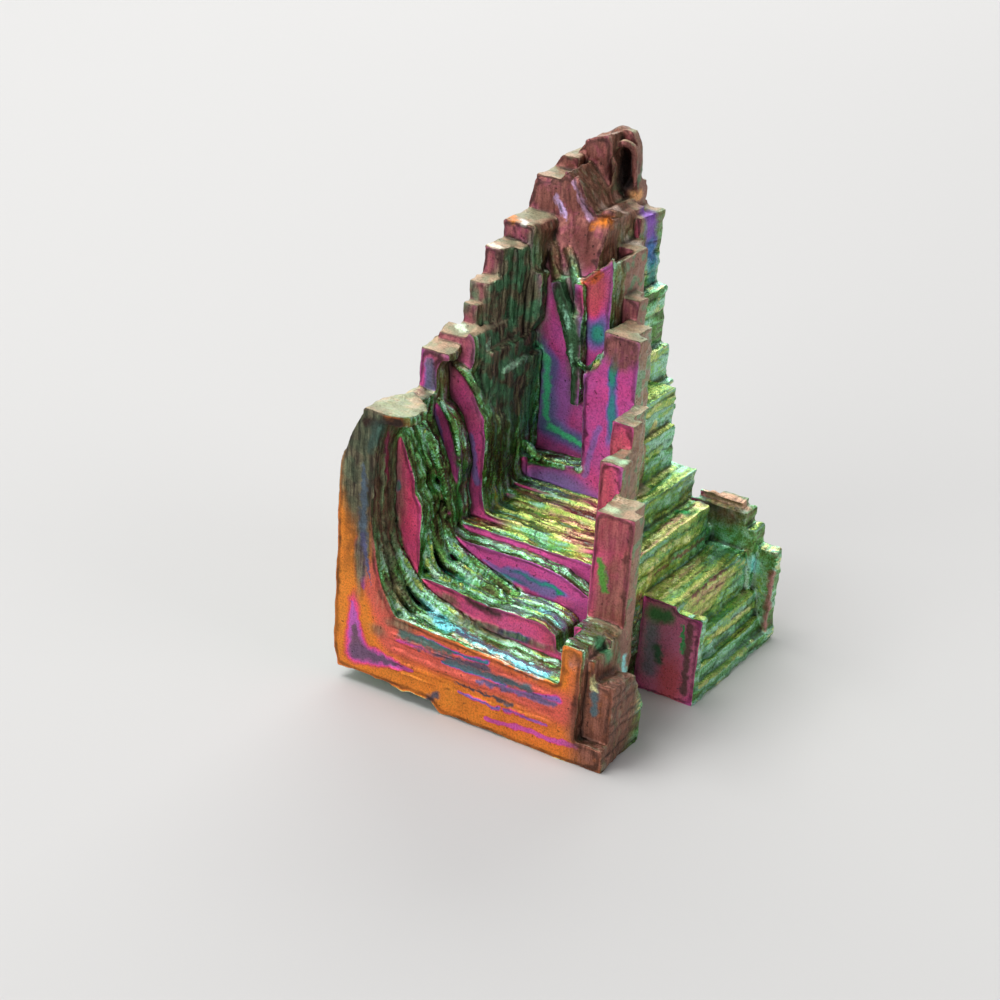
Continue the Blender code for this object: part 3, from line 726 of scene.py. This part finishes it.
        # painted highlights on the spire's folds, and painted orange glints under the spire lip and the
        # crimson lip
        ((-16.9, 20.2, 37.8), (-15.4, 20.2, 35.5), (0.20, 0.34), 0.6, (214, 172, 208)),
        ((-18.5, 20.2, 36.2), (-17.4, 20.2, 34.8), (0.26, 0.20), 0.6, (190, 162, 204)),
        ((-15.0, 20.1, 34.5), (-13.9, 20.4, 35.3), (0.30, 0.52), 0.8, (214, 122, 36)),
        ((-14.0, 17.7, 30.9), (-12.6, 17.7, 31.9), (0.26, 0.30), 0.8, (200, 94, 54)),
        # the skin's own colour
        ((-14.0, 17.8, 31.2), (-11.8, 17.8, 33.2), (0.20, 0.20), 0.6, (172, 128, 112)),
        # painted highlight on the brow's cap
        ((-15.4, 22.6, 35.6), (-13.9, 22.6, 35.5), (0.40, 0.50), 0.7, (222, 196, 180)),
        # the skin's own colours
        ((-12.8, 25.8, 34.9), (-12.8, 26.5, 32.4), (0.90, 0.80), 0.5, (138, 88, 184)),
        ((-12.8, 26.5, 32.0), (-12.8, 27.0, 30.4), (0.75, 0.75), 0.7, (76, 122, 178)),
        ((-12.8, 27.0, 29.9), (-12.8, 27.3, 28.2), (0.70, 0.60), 0.7, (64, 146, 132)),
        ((-5.3, 21.5, 12.1), (-4.6, 22.4, 11.6), (0.60, 0.70), 0.6, (44, 168, 88)),
        ((-5.2, 24.6, 13.2), (-4.4, 25.4, 11.6), (0.70, 0.80), 0.6, (26, 66, 62)),
        # painted glints on the right side's ledges and slabs
        ((-4.0, 14.4, 10.2), (-4.0, 14.2, 9.4), (0.34, 0.40), 0.6, (250, 226, 160)),
        ((-2.5, 15.5, 8.3), (-2.2, 16.3, 8.3), (0.34, 0.30), 0.6, (206, 248, 170)),
        ((-8.5, 21.2, 18.0), (-8.5, 22.0, 18.9), (0.30, 0.34), 0.6, (244, 240, 160)),
        # the skin's own colours
        ((-4.0, 15.0, 9.5), (-4.0, 24.6, 9.3), (0.16, 0.20), 0.6, (158, 118, 100)),
        ((-1.0, 16.4, 8.0), (-1.0, 22.4, 8.2), (0.14, 0.20), 0.6, (166, 114, 104)),
        # painted glints on the right side and the corner
        ((-3.8, 25.2, 8.2), (-3.0, 25.8, 8.2), (0.36, 0.42), 0.6, (190, 246, 220)),
        ((-0.6, 26.6, 7.4), (-0.4, 26.8, 6.6), (0.40, 0.46), 0.6, (166, 242, 236)),
        ((1.2, 17.5, 1.1), (1.3, 23.4, 1.1), (0.22, 0.30), 0.7, (196, 214, 124)),
        ((-1.35, 5.7, 6.9), (-1.25, 5.8, 5.2), (0.30, 0.42), 0.6, (166, 242, 240)),
        # the skin's own colours
        ((-2.0, 2.4, 9.7), (-1.7, 3.0, 8.2), (0.50, 0.60), 0.6, (92, 158, 112)),
        ((-1.15, 0.9, 6.6), (-1.05, 0.9, 4.4), (0.30, 0.28), 0.6, (90, 108, 114)),
        # painted glint at the top of the blue-grey groove
        ((-1.3, 0.9, 7.2), (-1.2, 0.9, 6.4), (0.26, 0.26), 0.6, (226, 222, 160)),
    ],
    # how far ledges and walls are moved along their tones: centre, reach, amount, softness
    "growths": [
        ((-21.0, 1.6, 16.0), (1.6, 2.4, 8.0), -0.12, 0.3),
        ((-19.4, 1.6, 9.0), (2.2, 2.2, 2.2), -0.02, 0.5),
        ((-10.0, 1.6, 6.8), (7.0, 2.2, 1.2), 0.04, 0.3),
        ((-12.0, 5.0, 9.2), (7.0, 2.4, 1.0), 0.02, 0.3),
        ((-19.2, 5.0, 16.0), (1.6, 3.6, 8.0), -0.04, 0.4),
        ((-11.5, 11.5, 13.0), (7.0, 4.5, 1.8), 0.24, 0.3),
        ((-17.3, 13.0, 19.0), (1.5, 5.0, 6.0), 0.0, 0.4),
        ((-18.0, 15.0, 28.5), (2.4, 4.0, 5.0), -0.08, 0.4),
        ((-5.0, 17.0, 12.0), (7.0, 9.0, 7.0), 0.26, 0.4),
        ((-9.5, 21.0, 22.0), (3.0, 7.0, 6.0), 0.24, 0.4),
        ((0.0, 20.0, 4.0), (3.0, 8.0, 5.0), 0.24, 0.3),
    ],
}


# tones of the painted glints, growths, bare metal, and the dirt and painted shade: one, or two that are mixed
coatTones = {
    "glint": ((200, 240, 214), (222, 232, 160)),
    "rust": ((98, 60, 48), (162, 108, 92)),
    "moss": ((60, 52, 42), (138, 132, 104)),
    "greenMoss": ((42, 84, 58), (112, 168, 124)),
    "metalAbove": ((156, 156, 124), (200, 168, 138)),
    "metalFlank": ((168, 128, 114), (128, 156, 122)),
    "film": (112, 92, 78),
    # dark tone of the dirt and of the painted shade
    "dirtAndShade": (36, 27, 22),
}
coat = {
    "depth": 28.0,            # mm, how far back the planes of the skin reach
    "unevenness": 0.10,       # how much the thickness varies over a plane
    "rimGain": 0.04,          # how much thicker the skin is along front edges
    "outerRimGain": 0.08,
    "metalShare": 0.85,       # strength of the bare metal on the ridge
    # strength of the dirt and the painted shade
    "dirtAndShadeShare": 0.85,
    "polish": 0.20,           # roughness of the brightest metal
    "dullGain": 0.18,         # added where the skin is flat, rusty or mossy
    "bump": 0.12,             # mm
    "bumpStrength": 0.9,
}


def blot(tree, at, place, centre, reach, softness):
    values = {"Place": place, "Centre": centre, "Reach": reach, "Softness": softness}
    return useGroup(tree, at.patch, **values)["Mask"]


def dash(tree, at, place, start, end, widths, softness):
    values = {"Place": place, "Start": start, "End": end}
    values.update({"StartWidth": widths[0], "EndWidth": widths[1], "Softness": softness})
    return useGroup(tree, at.stroke, **values)["Mask"]


def spread(tree, at, place, marks):
    # the strongest of several soft patches
    total = 0.0
    for centre, reach, share, softness in marks:
        mask = blot(tree, at, place, centre, reach, softness)
        total = calc(tree, "MAXIMUM", total, calc(tree, "MULTIPLY", mask, share))
    return total


def between(tree, share, name):
    # a colour between the two tones of a coat
    low, high = coatTones[name]
    return blend(tree, share, tone(*low), tone(*high))


def stretched(tree, place, scale, detail=2.0, roughness=0.5):
    # noise drawn out along one direction
    return grain(tree, calcVector(tree, "MULTIPLY", place, scale), 1.0, detail, roughness)["Fac"]


def readSurface(tree):
    # what every layer of the skin needs to know about a point of the surface
    at = SimpleNamespace(patch=oxidePatchGroup(), stroke=oxideStrokeGroup())
    coordinates = addNode(tree, "TexCoord")
    mapping = addNode(tree, "Mapping")
    mapping.inputs["Location"].default_value = tuple(-frontCorner)
    mapping.inputs["Scale"].default_value = (1 / mm,) * 3
    tree.links.new(coordinates.outputs["Object"], mapping.inputs["Vector"])
    at.place = mapping.outputs[0]
    parts = addNode(tree, "SeparateXYZ")
    tree.links.new(at.place, parts.inputs[0])
    at.x, at.y, at.z = parts.outputs
    facet = addNode(tree, "Attribute", attribute_name="facet").outputs["Vector"]
    for name in ("rim", "bar", "bare", "rope", "gap"):
        setattr(at, name, addNode(tree, "Attribute", attribute_name=name).outputs["Fac"])
    at.facing = useGroup(tree, facingGroup(), Facet=facet)
    broad = calcVector(tree, "SUBTRACT", grain(tree, at.place, 0.45)["Color"], (0.5, 0.5, 0.5))
    small = calcVector(tree, "SUBTRACT", grain(tree, at.place, 2.0, 3.0)["Color"], (0.5, 0.5, 0.5))
    warped = calcVector(tree, "MULTIPLY_ADD", broad, (0.9, 0.0, 0.9), at.place)
    at.warped = calcVector(tree, "MULTIPLY_ADD", small, (0.35, 0.0, 0.35), warped)
    at.ragged = calcVector(tree, "MULTIPLY_ADD", small, (0.8, 0.8, 0.8), at.place)
    streaked = calc(tree, "MAXIMUM", at.rope, spread(tree, at, at.place, oxide["streaked"]))
    at.flat = calc(tree, "MULTIPLY", at.facing["Front"], calc(tree, "SUBTRACT", 1.0, streaked))
    at.speckle = grain(tree, at.place, 6.5, 2.0, 0.7)["Fac"]
    at.upright = stretched(tree, at.place, (3.2, 3.2, 0.35), 3.0, 0.6)
    return at


def frontSkin(tree, at):
    # thickness of the skin on the faces that look forward
    parts = addNode(tree, "SeparateXYZ")
    tree.links.new(at.place, parts.inputs[0])
    share = calc(tree, "DIVIDE", parts.outputs["Y"], coat["depth"])
    curve = addNode(tree, "ValToRGB")
    stops = curve.color_ramp.elements
    for distance, _ in oxide["planes"][2:]:
        stops.new(distance / coat["depth"])
    for stop, (distance, value) in zip(stops, oxide["planes"]):
        stop.position, stop.color = distance / coat["depth"], (value, value, value, 1.0)
    tree.links.new(share, curve.inputs[0])
    uneven = calc(tree, "SUBTRACT", grain(tree, at.place, 0.5, 3.0)["Fac"], 0.5)
    front = calc(tree, "MULTIPLY_ADD", uneven, coat["unevenness"], curve.outputs["Color"])
    for centre, reach, softness, thickness in oxide["patches"]:
        front = blendValue(tree, blot(tree, at, at.warped, centre, reach, softness), front, thickness)
    for start, end, widths, softness, thickness in oxide["strokes"]:
        front = blendValue(tree, dash(tree, at, at.warped, start, end, widths, softness), front, thickness)
    return calc(tree, "ADD", front, fade(tree, at.rim, 0.02, 0.16, 0.0, coat["rimGain"]))


def ledgeSkin(tree, at):
    # ledges and walls: streaks along the growth bars, with painted glints on the bars' crowns
    alongX = stretched(tree, at.place, (0.35, 2.0, 0.5), 4.0, 0.6)
    alongY = stretched(tree, at.place, (1.5, 0.22, 1.5), 4.0, 0.6)
    onRight = fade(tree, calc(tree, "MULTIPLY_ADD", at.y, 0.58, at.x), 1.2, 2.4)
    at.streak = blendValue(tree, onRight, alongX, alongY)
    swing = blendValue(tree, onRight, 1.2, 0.7)
    ledge = calc(tree, "MULTIPLY_ADD", calc(tree, "SUBTRACT", at.streak, 0.5), swing, 0.34)
    for source, onBars, onRopes in ((at.speckle, 0.35, 0.12), (at.bar, 0.30, 0.55)):
        change = calc(tree, "SUBTRACT", source, 0.5)
        ledge = calc(tree, "MULTIPLY_ADD", change, blendValue(tree, at.rope, onBars, onRopes), ledge)
    # up-facing surfaces are moved towards pale mint: a painted sheen on the tops
    ledge = calc(tree, "MULTIPLY_ADD", at.facing["Top"], 0.10, ledge)
    for centre, reach, amount, softness in oxide["growths"]:
        mask = blot(tree, at, at.warped, centre, reach, softness)
        ledge = calc(tree, "MULTIPLY_ADD", mask, amount, ledge)
    colour = useGroup(tree, rampGroup("ledgeColour", ledgeTones), Value=ledge)["Color"]
    # painted glints: pale cyan and cream spots on the crowns of the bars, fewer higher up on the left
    glintX = stretched(tree, at.place, (0.7, 3.0, 1.5), 3.0)
    glintY = stretched(tree, at.place, (2.4, 0.7, 2.4), 3.0)
    glint = fade(tree, blendValue(tree, onRight, glintX, glintY), 0.54, 0.62)
    glint = calc(tree, "MULTIPLY", glint, fade(tree, at.bar, 0.45, 0.7))
    lower = fade(tree, at.z, 8.0, 14.0, 1.0, 0.3)
    glint = calc(tree, "MULTIPLY", glint, calc(tree, "MAXIMUM", lower, onRight))
    return blend(tree, glint, colour, between(tree, onRight, "glint"))


def outerSkin(tree, at, oxideColour, ledgeColour):
    # the back and the left side: blots and bands that change from step to step
    at.outer = calc(tree, "MAXIMUM", at.facing["Back"], at.facing["Left"])
    banded = stretched(tree, at.warped, (0.15, 0.15, 0.07))
    banded = fade(tree, banded, 0.30, 0.66, 0.14, 0.80)
    banded = calc(tree, "ADD", banded, fade(tree, at.rim, 0.02, 0.16, 0.0, coat["outerRimGain"]))
    colour = useGroup(tree, oxideColour, Value=banded)["Color"]
    worn = fade(tree, grain(tree, at.place, 0.22, 4.0)["Fac"], 0.40, 0.60, 0.15, 0.9)
    colour = blend(tree, worn, colour, ledgeColour)
    return blend(tree, fade(tree, at.upright, 0.40, 0.66, 0.0, 0.6), colour, tone(*coatTones["film"]))


def growCoats(tree, at, colour):
    # dull brown rust, then moss that turns greener away from the front
    at.rust = spread(tree, at, at.warped, oxide["rust"])
    patchy = fade(tree, grain(tree, at.place, 1.4, 3.0)["Fac"], 0.30, 0.52, 0.86, 1.0)
    at.rust = calc(tree, "MULTIPLY", at.rust, patchy)
    brown = between(tree, fade(tree, at.upright, 0.25, 0.75), "rust")
    colour = blend(tree, at.rust, colour, brown)
    at.moss = spread(tree, at, at.warped, oxide["moss"])
    mossy = between(tree, fade(tree, at.upright, 0.35, 0.65), "moss")
    greener = between(tree, at.upright, "greenMoss")
    grown = fade(tree, grain(tree, at.place, 0.7)["Fac"], 0.42, 0.58)
    grown = calc(tree, "MULTIPLY", grown, fade(tree, at.y, 5.0, 9.0, 0.25, 1.0))
    return blend(tree, at.moss, colour, blend(tree, grown, mossy, greener))


def bareRims(tree, at, colour):
    # pale metal on the ridge and where edges are worn
    pale = grain(tree, at.place, 0.7, 3.0)["Fac"]
    above = between(tree, fade(tree, pale, 0.40, 0.60), "metalAbove")
    flank = between(tree, fade(tree, pale, 0.52, 0.62), "metalFlank")
    metal = blend(tree, at.facing["Top"], flank, above)
    wornRim = fade(tree, at.rim, 0.12, 0.22)
    broken = fade(tree, grain(tree, at.place, 0.9, 3.0)["Fac"], 0.45, 0.60, 0.0, 0.7)
    wornRim = calc(tree, "MULTIPLY", wornRim, broken)
    bare = calc(tree, "MAXIMUM", wornRim, calc(tree, "MULTIPLY", at.bare, coat["metalShare"]))
    return blend(tree, bare, colour, metal)


def paintVeinsAndPaintedLight(tree, at, colour):
    # tints: the right block's own pink, made brighter as painted light
    for centre, reach, softness, paint in oxide["tintsAndPaintedLight"]:
        mask = blot(tree, at, at.ragged, centre, reach, softness)
        colour = blend(tree, calc(tree, "MULTIPLY", mask, at.flat), colour, tone(*paint))
    # veins: the skin's own marks, painted glints and highlights, and one painted shade
    for start, end, widths, softness, paint in oxide["veinsAndPaintedLight"]:
        colour = blend(tree, dash(tree, at, at.ragged, start, end, widths, softness), colour, tone(*paint))
    return colour


def addDirtAndShade(tree, at, colour):
    # dark lines beside the rims and dirt in the pits and specks, with painted shade in the corners and in the
    # gaps between bars
    line = calc(tree, "MULTIPLY", fade(tree, at.rim, 0.02, 0.06), fade(tree, at.rim, 0.09, 0.14, 1.0, 0.0))
    line = calc(tree, "MULTIPLY", line, at.flat)
    line = calc(tree, "MULTIPLY", line, fade(tree, at.streak, 0.35, 0.6, 0.9, 0.45))
    at.pits = fade(tree, grain(tree, at.place, 3.1, 2.0)["Fac"], 0.66, 0.72)
    specks = fade(tree, at.speckle, 0.66, 0.74)
    # painted shade where the surface curves inwards, in the corners, and dirt in the pits
    dirtAndShade = calc(tree, "MAXIMUM", fade(tree, at.rim, -0.02, -0.14), calc(tree, "MULTIPLY", at.pits, 0.75))
    dirtAndShade = calc(tree, "MAXIMUM", calc(tree, "MAXIMUM", dirtAndShade, line), calc(tree, "MULTIPLY", specks, 0.6))
    # painted shade in the gaps between the growth bars, broken up by noise
    broken = fade(tree, grain(tree, at.place, 1.1, 3.0)["Fac"], 0.36, 0.56, 0.35, 1.0)
    shadeBetweenBars = calc(tree, "MULTIPLY", at.gap, broken)
    shadeBetweenBars = calc(tree, "MULTIPLY", shadeBetweenBars, calc(tree, "MULTIPLY_ADD", at.flat, -0.4, 1.0))
    dirtAndShade = calc(tree, "MAXIMUM", dirtAndShade, shadeBetweenBars)
    colour = blend(tree, calc(tree, "MULTIPLY", dirtAndShade, coat["dirtAndShadeShare"]), colour, tone(*coatTones["dirtAndShade"]))
    shade = fade(tree, at.speckle, 0.25, 0.65, 0.74, 1.26)
    broad = fade(tree, grain(tree, at.place, 0.55, 4.0)["Fac"], 0.3, 0.6, 0.90, 1.06)
    return blend(tree, 1.0, colour, calc(tree, "MULTIPLY", shade, broad), "MULTIPLY")


def addGloss(tree, at, shader):
    # bright metal on ledges and walls, duller where the skin is flat, rusty or mossy
    dull = calc(tree, "MAXIMUM", at.flat, at.outer)
    dull = calc(tree, "MAXIMUM", dull, calc(tree, "MAXIMUM", at.rust, at.moss))
    caps = calc(tree, "MULTIPLY", at.bare, at.facing["Top"])
    metallic = calc(tree, "MULTIPLY_ADD", caps, -0.45, calc(tree, "MULTIPLY_ADD", dull, -0.3, 1.0))
    tree.links.new(metallic, shader.inputs["Metallic"])
    rough = calc(tree, "MULTIPLY_ADD", dull, coat["dullGain"], coat["polish"])
    rough = calc(tree, "MULTIPLY_ADD", grain(tree, at.place, 2.2, 3.0)["Fac"], 0.16, rough)
    rough = calc(tree, "MULTIPLY_ADD", caps, 0.10, rough)
    tree.links.new(rough, shader.inputs["Roughness"])


def addBump(tree, at, shader):
    bump = addNode(tree, "Bump")
    bump.inputs["Distance"].default_value = coat["bump"] * mm
    bump.inputs["Strength"].default_value = coat["bumpStrength"]
    crumple = grain(tree, at.place, 2.6, 5.0, 0.65)["Fac"]
    crumple = calc(tree, "MULTIPLY", crumple, calc(tree, "MULTIPLY_ADD", at.flat, -0.8, 1.0))
    fine = calc(tree, "MULTIPLY", at.streak, calc(tree, "SUBTRACT", 1.0, at.flat))
    height = calc(tree, "ADD", crumple, calc(tree, "MULTIPLY", fine, 0.8))
    mossLines = calc(tree, "MULTIPLY", at.upright, at.moss)
    height = calc(tree, "ADD", height, calc(tree, "MULTIPLY", mossLines, 1.2))
    height = calc(tree, "SUBTRACT", height, calc(tree, "MULTIPLY", at.pits, 0.3))
    tree.links.new(height, bump.inputs["Height"])
    tree.links.new(bump.outputs["Normal"], shader.inputs["Normal"])


def bismuthSkin():
    material = bpy.data.materials.new("bismuthOxide")
    material.use_nodes = True
    tree = material.node_tree
    shader = tree.nodes["Principled BSDF"]
    at = readSurface(tree)
    front = frontSkin(tree, at)
    oxideColour = rampGroup("oxideColour", oxideTones)
    colour = useGroup(tree, oxideColour, Value=front)["Color"]
    ledgeColour = ledgeSkin(tree, at)
    colour = blend(tree, at.flat, ledgeColour, colour)
    outerColour = outerSkin(tree, at, oxideColour, ledgeColour)
    colour = blend(tree, at.outer, colour, outerColour)
    for layer in (growCoats, bareRims, paintVeinsAndPaintedLight, addDirtAndShade):
        colour = layer(tree, at, colour)
    tree.links.new(colour, shader.inputs["Base Color"])
    addGloss(tree, at, shader)
    addBump(tree, at, shader)
    return material


crystal = buildCrystal()
carveCrystal(crystal)
finishCrystal(crystal)
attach(crystal, "root")
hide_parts("bismuth_crystal")
crystal.data.materials.clear()
crystal.data.materials.append(bismuthSkin())
print("crystal finished")

# degrees, and the place in mm
camera = {"azimuth": 29.8, "elevation": 24.8, "roll": 4.3, "lens": 78.66, "place": (73.84, -140.39, 86.85)}
# lamps in metres and watts, aimed at the middle of the crystal
studio = {
    "window": {"place": (-0.26, 0.52, 0.32), "size": (0.62, 0.34), "power": 2.1},
    "softbox": {"place": (-0.24, -0.08, 0.58), "size": (0.34, 0.34), "power": 2.7},
    "fill": {"place": (-0.14, -0.62, 0.30), "size": (0.5, 0.4), "power": 1.85},
    "side": {"place": (0.55, 0.10, 0.34), "size": (0.4, 0.4), "power": 0.6},
}
lampAim = (0.0, 0.0, 0.015)
surroundings = {"colour": (0.92, 0.95, 1.0, 1.0), "strength": 0.26}
floor = {"size": 3.0, "colour": (0.63, 0.62, 0.605, 1.0), "roughness": 0.8}


def addFloor():
    bpy.ops.mesh.primitive_plane_add(size=floor["size"], location=(0.0, 0.0, 0.0))
    plane = bpy.context.view_layer.objects.active
    plane.name = "paleFloor"
    material = bpy.data.materials.new("paleFloor")
    material.use_nodes = True
    shader = material.node_tree.nodes["Principled BSDF"]
    shader.inputs["Base Color"].default_value = floor["colour"]
    shader.inputs["Roughness"].default_value = floor["roughness"]
    plane.data.materials.append(material)


def addCamera():
    azimuth, elevation, roll = (radians(camera[k]) for k in ("azimuth", "elevation", "roll"))
    right = np.array([cos(azimuth), sin(azimuth), 0.0])
    forward = np.array([-sin(azimuth) * cos(elevation), cos(azimuth) * cos(elevation), -sin(elevation)])
    up = np.cross(right, forward)
    sideways = cos(roll) * right + sin(roll) * up
    upward = -sin(roll) * right + cos(roll) * up
    bpy.ops.object.camera_add()
    eye = bpy.context.view_layer.objects.active
    eye.name = "camera"
    turn = Matrix((sideways, upward, -forward)).transposed().to_4x4()
    eye.matrix_world = Matrix.Translation([v * mm for v in camera["place"]]) @ turn
    eye.data.lens = camera["lens"]
    eye.data.sensor_width = 36.0
    eye.data.clip_start = 0.01
    bpy.context.scene.camera = eye


def addLamp(name, place, size, power):
    bpy.ops.object.light_add(type="AREA", location=place)
    lamp = bpy.context.view_layer.objects.active
    lamp.name = name
    lamp.data.shape = "RECTANGLE"
    lamp.data.energy, lamp.data.size, lamp.data.size_y = power, *size
    aim = np.array(lampAim) - np.array(place)
    lamp.rotation_euler = Vector(aim).to_track_quat("-Z", "Y").to_euler()


def addSurroundings():
    world = bpy.data.worlds.new("studio")
    bpy.context.scene.world = world
    world.use_nodes = True
    background = world.node_tree.nodes["Background"]
    background.inputs["Color"].default_value = surroundings["colour"]
    background.inputs["Strength"].default_value = surroundings["strength"]


addFloor()
addCamera()
for name, values in studio.items():
    addLamp(name, **values)
addSurroundings()
bpy.context.scene.view_settings.view_transform = "Standard"
print("floor, camera and lights added")
